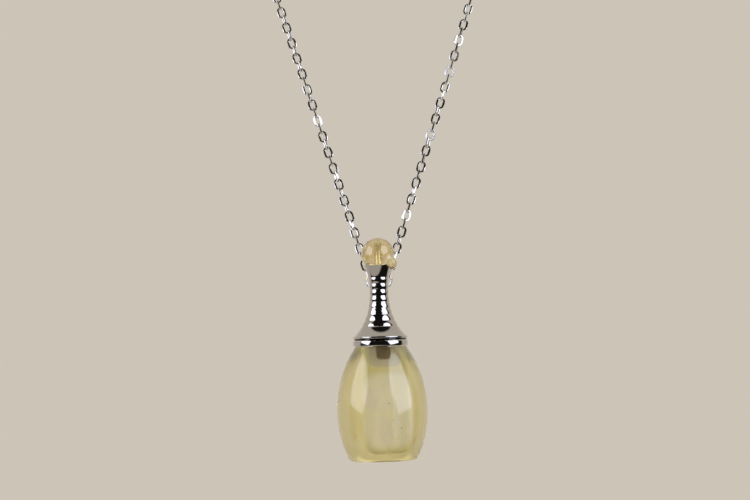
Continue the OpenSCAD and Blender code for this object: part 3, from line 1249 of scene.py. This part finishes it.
@dataclass(frozen=True)
class SoftBox:
    """A studio light with a flat pane that faces the pendant.

    Attributes:
        name: Its name.
        corners: Where the pendant sees the pane's corners, as degrees to the right of the camera and up.
        radiance: How bright the pane is, with white paper in full light as 1.
        colour: The pane's colour.
        distance: How far it stands from the pendant, in metres.
    """

    name: str
    corners: tuple[tuple[float, float], ...]
    radiance: float = 2.1
    colour: str = "#EEF3FF"
    distance: float = 1.0

    def stand(self, hanging: Hanging, height: float) -> None:
        """Sets up the pane.

        Args:
            hanging: The pendant's place.
            height: Height of the point on the pendant's axis that the pane faces.
        """
        angles = [(math.radians(azimuth), math.radians(up)) for azimuth, up in self.corners]
        rays = [
            hanging.turn @ Vector((math.sin(a) * math.cos(e), -math.cos(a) * math.cos(e), math.sin(e)))
            for a, e in angles
        ]
        facing = sum(rays, Vector()).normalized()
        centre = hanging.point(0, 0, height)
        clear_selection()
        bpy.ops.mesh.primitive_circle_add(vertices=len(rays), fill_type="NGON")
        pane = bpy.context.object
        pane.name = self.name
        for corner, ray in zip(pane.data.vertices, rays):
            corner.co = centre + ray * (self.distance / ray.dot(facing))
        # Diffuser cloth before a lamp is one even white pane, with clear edges in the metal.
        material, tree = blank_material("diffuser cloth")
        glow = add_node(tree, "Emission", {"Color": self.colour, "Strength": self.radiance})
        add_node(tree, "OutputMaterial", {"Surface": glow})
        pane.data.materials.append(material)
        pane.visible_camera = False
        pane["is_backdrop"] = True


@dataclass
class Studio:
    """The pale floor and backdrop, the light and the camera.

    Distances are in metres, and brightness is set against white paper in full light.

    Attributes:
        hanging: The pendant's place.
        photo_width: Width of the photograph in pixels.
        mm_per_pixel: Size of its pixel at the pendant.
        distance: From the camera to where it points.
        look_up: How far the camera looks up along the pendant's front, in degrees.
        roll: How far it leans to the side, in degrees.
        aim: Where it points, right of the pendant's axis and above its base, in millimetres.
        floor_drop: How far the floor lies below the whole necklace.
        floor_glow: Share of the backdrop's even tone in what the camera sees of the floor.
        floor_bounce: That share in the light that the floor gives the pendant.
        ahead: Direction of the backdrop, as the pendant sees it.
        ahead_edge: Shares of that direction between which the dark room becomes backdrop.
        room: Brightness of the dark room where the camera stands.
        walls: Brightness of the backdrop.
        paper_glow: How much brighter the backdrop is in its middle.
        glow_edge: Shares of straight ahead between which that sets in.
        table_way: Direction of the table, down and to the left.
        table_edge: Shares of that direction between which the table begins.
        table: Its brightness.
        through: Brightness of what is seen through the stones.
        through_front: That of the room, seen through them in a mirror.
        through_edge: Shares of the backdrop's direction between the two.
        box_height: Height on the pendant that the soft boxes face, in millimetres.
        overhead_place: Where the overhead lamp hangs from the pendant's base.
        fill_way: Direction of the fill lamp, as the pendant sees it.
        boxes: The soft boxes, with the outlines that the metal reflects.
    """

    hanging: Hanging
    photo_width: int = 750
    mm_per_pixel: float = 0.235
    distance: float = 0.6
    sensor: float = 36.0
    look_up: float = 2.0
    roll: float = 1.65
    aim: tuple[float, float] = (-0.66, 49.5)
    floor_drop: float = 0.7
    floor_size: float = 8.0
    floor_glow: float = 0.85
    floor_bounce: float = 0.25
    paper: str = "#CDC4B8"
    ahead: tuple[float, float, float] = (-0.09, 1, 0.42)
    ahead_edge: tuple[float, float] = (0.06, 0.17)
    room: float = 0.015
    walls: float = 0.85
    paper_glow: float = 0.3
    glow_edge: tuple[float, float] = (0.55, 0.95)
    table_way: tuple[float, float, float] = (-0.35, 0, -1)
    table_edge: tuple[float, float] = (0.66, 0.76)
    table: float = 0.75
    through: float = 0.9
    through_front: float = 0.85
    through_edge: tuple[float, float] = (-0.5, 0.1)
    box_height: float = 15.0
    overhead_size: float = 1.6
    overhead_depth: float = 1.2
    overhead_place: tuple[float, float, float] = (0, 0.35, 0.9)
    overhead_radiance: float = 0.572958
    fill_way: tuple[float, float, float] = (0, -1, 0.3)
    fill_size: float = 1.2
    fill_radiance: float = 1.5
    boxes: tuple[SoftBox, ...] = (
        SoftBox(
            "left_soft_box",
            ((-52, -3), (-39, 13), (-39, 24), (-50, 41), (-66, 47), (-91, 44), (-87, 5)),
        ),
        SoftBox(
            "right_soft_box",
            ((42, -4), (31, 8), (22, 20), (23, 34), (34, 50), (55, 55), (78, 46), (79, 2)),
        ),
    )

    def floor(self) -> None:
        """Lays a pale paper floor below the pendant, evened out to the backdrop's tone for the camera."""
        clear_selection()
        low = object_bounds()[0].z - self.floor_drop
        bpy.ops.mesh.primitive_plane_add(size=self.floor_size, location=(0, 0, low))
        floor = bpy.context.object
        floor.name = "paper_floor"
        settle(floor)
        # Matt paper has no highlights, and keeps the soft shade of whatever stands on it.
        material, tree = blank_material("matt paper")
        paper = add_node(tree, "BsdfPrincipled", {"Base Color": self.paper, "Roughness": 0.9})
        even = add_node(tree, "Emission", {"Color": self.paper})
        direct = add_node(tree, "LightPath").outputs["Is Camera Ray"]
        share = add_node(tree, "MapRange", {0: direct, 3: self.floor_bounce, 4: self.floor_glow})
        shown = add_node(tree, "MixShader", {0: share, 1: paper, 2: even})
        add_node(tree, "OutputMaterial", {"Surface": shown})
        floor.data.materials.append(material)
        floor.visible_glossy = False
        floor.visible_transmission = False
        floor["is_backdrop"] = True

    def surroundings(self) -> None:
        """Surrounds the pendant with a pale paper backdrop, and with a dark room where the camera stands.

        The camera itself sees only the backdrop. The metal reflects the rest, and the stones let it through.
        """
        world = bpy.data.worlds.new("studio")
        bpy.context.scene.world = world
        world.use_nodes = True
        tree = world.node_tree
        tree.nodes.clear()
        way = add_node(tree, "TexCoord").outputs["Generated"]
        ahead = add_node(tree, "VectorMath", {0: way, 1: self.ahead}, operation="DOT_PRODUCT")
        down = add_node(tree, "VectorMath", {0: way, 1: self.table_way}, operation="DOT_PRODUCT")
        straight = add_node(tree, "SeparateXYZ", {0: way}).outputs["Y"]
        behind, below, near, far = (
            add_node(tree, "MapRange", {0: share, 1: edge[0], 2: edge[1], 3: before, 4: after})
            for share, edge, before, after in (
                (ahead, self.ahead_edge, self.room, self.walls),
                (down, self.table_edge, 0.0, self.table),
                (straight, self.glow_edge, 0.0, self.paper_glow),
                (ahead, self.through_edge, self.through_front, self.through),
            )
        )
        backdrop = add_node(tree, "Math", {0: behind, 1: near}, operation="ADD")
        around = add_node(tree, "Math", {0: backdrop, 1: below}, operation="MAXIMUM")
        rays = add_node(tree, "LightPath").outputs
        direct = add_node(tree, "Math", {0: rays["Glossy Depth"], 1: 0.5}, operation="LESS_THAN")
        full = add_node(tree, "Math", {0: direct, 1: self.through}, operation="MULTIPLY")
        either = add_node(tree, "Math", {0: far, 1: full}, operation="MAXIMUM")
        through = add_node(tree, "Math", {0: rays["Is Transmission Ray"], 1: either}, operation="MULTIPLY")
        lit = add_node(tree, "Math", {0: around, 1: through}, operation="MAXIMUM")
        seen = add_node(tree, "Mix", {0: rays["Is Camera Ray"], 2: lit, 3: 1.0}, data_type="FLOAT")
        light = add_node(tree, "Background", {"Color": self.paper, "Strength": seen})
        add_node(tree, "OutputWorld", {"Surface": light})

    @staticmethod
    def lamp(
        name: str, shape: str, size: float, area: float, radiance: float, place: Matrix
    ) -> bpy.types.Object:
        """Hangs a soft lamp that neither the camera nor a mirror sees.

        Args:
            name: Its name.
            shape: RECTANGLE or DISK.
            size: Its width in metres.
            area: Its area in square metres.
            radiance: Its brightness.
            place: Where it hangs, shining down its own Z.

        Returns:
            The lamp.
        """
        light = bpy.data.lights.new(name, "AREA")
        light.shape = shape
        light.size = size
        light.size_y = area / size
        light.energy = radiance * math.pi * area
        lamp = bpy.data.objects.new(name, light)
        bpy.context.collection.objects.link(lamp)
        lamp.matrix_world = place
        lamp.visible_camera = False
        lamp.visible_glossy = False
        return lamp

    def lamps(self) -> None:
        """Hangs a dim lamp overhead and a broad one in front, which brightens the haze in the stones."""
        base = self.hanging.base
        over = Matrix.Translation(base + Vector(self.overhead_place))
        area = self.overhead_size * self.overhead_depth
        self.lamp("overhead", "RECTANGLE", self.overhead_size, area, self.overhead_radiance, over)
        facing = self.hanging.turn @ Vector(self.fill_way).normalized()
        front = Matrix.Translation(base + facing) @ facing.to_track_quat("Z", "Y").to_matrix().to_4x4()
        area = math.pi * (self.fill_size / 2) ** 2
        fill = self.lamp("fill", "DISK", self.fill_size, area, self.fill_radiance, front)
        fill.visible_transmission = False

    def camera(self) -> None:
        """Sets up the camera at the photograph's angle to the pendant and framing."""
        up = Matrix.Rotation(math.radians(90 + self.look_up), 3, "X")
        lean = Matrix.Rotation(-math.radians(self.roll), 3, "Z")
        data = bpy.data.cameras.new("camera")
        data.sensor_width = self.sensor
        data.lens = self.sensor * self.distance / (self.photo_width * self.mm_per_pixel * MM)
        data.clip_start = 0.05
        camera = bpy.data.objects.new("camera", data)
        bpy.context.collection.objects.link(camera)
        facing = Matrix.Translation(self.hanging.point(self.aim[0], 0, self.aim[1])) @ (
            self.hanging.turn @ up @ lean
        ).to_4x4()
        camera.matrix_world = facing @ Matrix.Translation((0, 0, self.distance))
        bpy.context.scene.camera = camera

    def build(self) -> None:
        """Sets up everything but the object."""
        self.floor()
        self.surroundings()
        for box in self.boxes:
            box.stand(self.hanging, self.box_height)
        self.lamps()
        self.camera()
        bpy.context.scene.view_settings.view_transform = "Standard"


def lemon_quartz(flask: Flask) -> Stone:
    """Describes the bottle's stone: pale yellow-green and hazy, with a ground bore that shows whitish.

    Args:
        flask: The bottle's sizes.

    Returns:
        The stone's finish.
    """
    wall = 0.05  # mm of the stone round the vial that count as the bore's wall
    return Stone(
        "polished lemon quartz",
        body="#DED28E",
        cloud="#E9E0AE",
        tint="#FDF8C6",
        tint_density=32.0,
        clear=0.68,
        clear_top=0.78,
        top=(15.0, 27.0),
        haze=0.14,
        glow=1.0,
        bore=Zone(flask.vial_d / 2 + wall, 1.0, FAR, "#F7F5EE", gloss=0.18, centre_x=flask.vial_offset),
        bore_clear=0.25,
        marks=(
            # Painted light: a pale column over the vial, front and back, for the lit whitish bore seen
            # through the stone. Painted shade: the greyish plug and the darker stem behind the shoulder, as
            # they show through the stone.
            Mark((1.4, 0, 12.0), 1.0, "#F6F0D8", 0.2, (6.2, 30, 9.6), boxy=True),
            Mark((0.9, -7.5, 24.6), 1.0, "#CFC6A8", 0.15, (3.9, 4, 2.7), boxy=True),
            Mark((0.6, -7.0, 25.6), 1.0, "#7A6850", 0.25, (1.9, 3, 2.0), boxy=True),
            # A brown patch painted just under the collar, and two warm stains low on the sides.
            Mark((-5.4, -4.2, 24.4), 1.0, "#B59E72", 0.8, (0.9, 1, 0.5)),
            Mark((-6.2, -7.6, 6.6), 1.0, "#E3C48A", 0.9, (1.0, 1, 1.6)),
            Mark((7.4, -6.9, 4.6), 1.0, "#E3C48A", 0.9, (1.0, 1, 1.4)),
            # Single dark grains.
            Mark((1.6, -10.6, 13.7), 0.16),
            Mark((2.5, -10.43, 9.8), 0.13),
            Mark((4.3, -9.59, 7.9), 0.15),
            Mark((-9.9, -3.96, 14.4), 0.17),
        ),
    )


def honey_quartz() -> Stone:
    """Describes the bead's stone: clear and honey-coloured, and hazy in its lobe.

    Returns:
        The stone's finish.
    """
    return Stone(
        "polished honey quartz",
        body="#FBF8EC",
        cloud="#FFFDF6",
        tint="#EDD65F",
        tint_density=125.0,
        clear=1.0,
        marks=(
            # The lobe, with painted shade on its underside and a brown line of painted shade in the crease
            # where it leaves the bead.
            Mark((3.0, -1.9, 46.3), 1.0, "#EAD6A0", 0.35, (2.1, 2.4, 2.1), opaque=0.75),
            Mark((3.1, -2.0, 44.9), 1.0, "#8F7248", 0.7, (1.8, 2.4, 0.85), opaque=0.75),
            Mark((3.95, -2.4, 47.35), 1.0, "#7E5F34", 0.7, (0.6, 0.9, 0.24), opaque=0.6),
            # Two short cracks, a brown crescent of painted shade above the cup's rim, and a greenish place.
            Mark((0.05, -2.3, 51.6), 1.0, "#7A6440", 0.5, (0.09, 0.8, 0.75), opaque=0.5),
            Mark((-1.15, -3.7, 49.0), 1.0, "#7A6440", 0.5, (0.1, 0.6, 0.5), opaque=0.5),
            Mark((-2.4, -2.3, 46.2), 1.0, "#8A6238", 0.8, (0.9, 1, 0.4), opaque=0.5),
            Mark((-2.6, -2.6, 47.6), 1.0, "#E2DFA4", 0.9, (1.2, 1.5, 1.0)),
        ),
    )


def cap_plating(stopper: Stopper) -> Plating:
    """Describes the cap's plating: a hard mirror, with painted shade in the groove and on the stem, and glue
    on the pin.

    Args:
        stopper: The cap's sizes.

    Returns:
        The cap's finish.
    """
    low, high = stopper.flask.collar_top_z, stopper.flange_z
    edge = 0.02  # mm of the collar and the flange, above and below the groove, that take the painted shade too
    spill = 0.1  # mm of the faces out from the groove that take it too
    skin = 0.15  # mm round the stem and the pin that take their finish
    return Plating(
        "rhodium-plated brass",
        colour="#D3D1CF",
        zones=(
            # Painted shade: the groove between collar and cap, and the faces next to it, are coloured dark.
            Zone(stopper.groove_d / 2 + spill, low - edge, high + edge, "#4A4642"),
            # Painted shade: the stem inside the bottle is coloured dark brown, as it shows through the stone.
            Zone(stopper.spigot_d / 2 + skin, -FAR, low, "#3A3228"),
            Zone(stopper.pin_d / 2 + skin, stopper.cup_z, FAR, "#F8F1DC", gloss=0.3),
        ),
    )


def main() -> None:
    """Builds the pendant, the necklace and the studio."""
    logging.basicConfig(level=logging.INFO, format="%(name)s: %(message)s")
    hanging = Hanging.from_frame()
    flask = Flask(hanging)
    stopper = Stopper(flask)
    plating = cap_plating(stopper).make(hanging)
    flask.build(lemon_quartz(flask).make(hanging), plating)
    # The seal's silicone is soft and waxy, and shows as the greyish plug under the collar.
    stopper.build(plating, Silicone().make(hanging), honey_quartz().make(hanging))
    # The chain's plating is whiter and more scratched than the cap's, so its links glitter softly.
    chain_plating = Plating("silver-plated brass", colour="#F0EFEE", gloss=0.1, smear=0.2)
    Necklace().build(chain_plating.make(hanging))
    Studio(hanging).build()


if __name__ == "__main__":
    main()
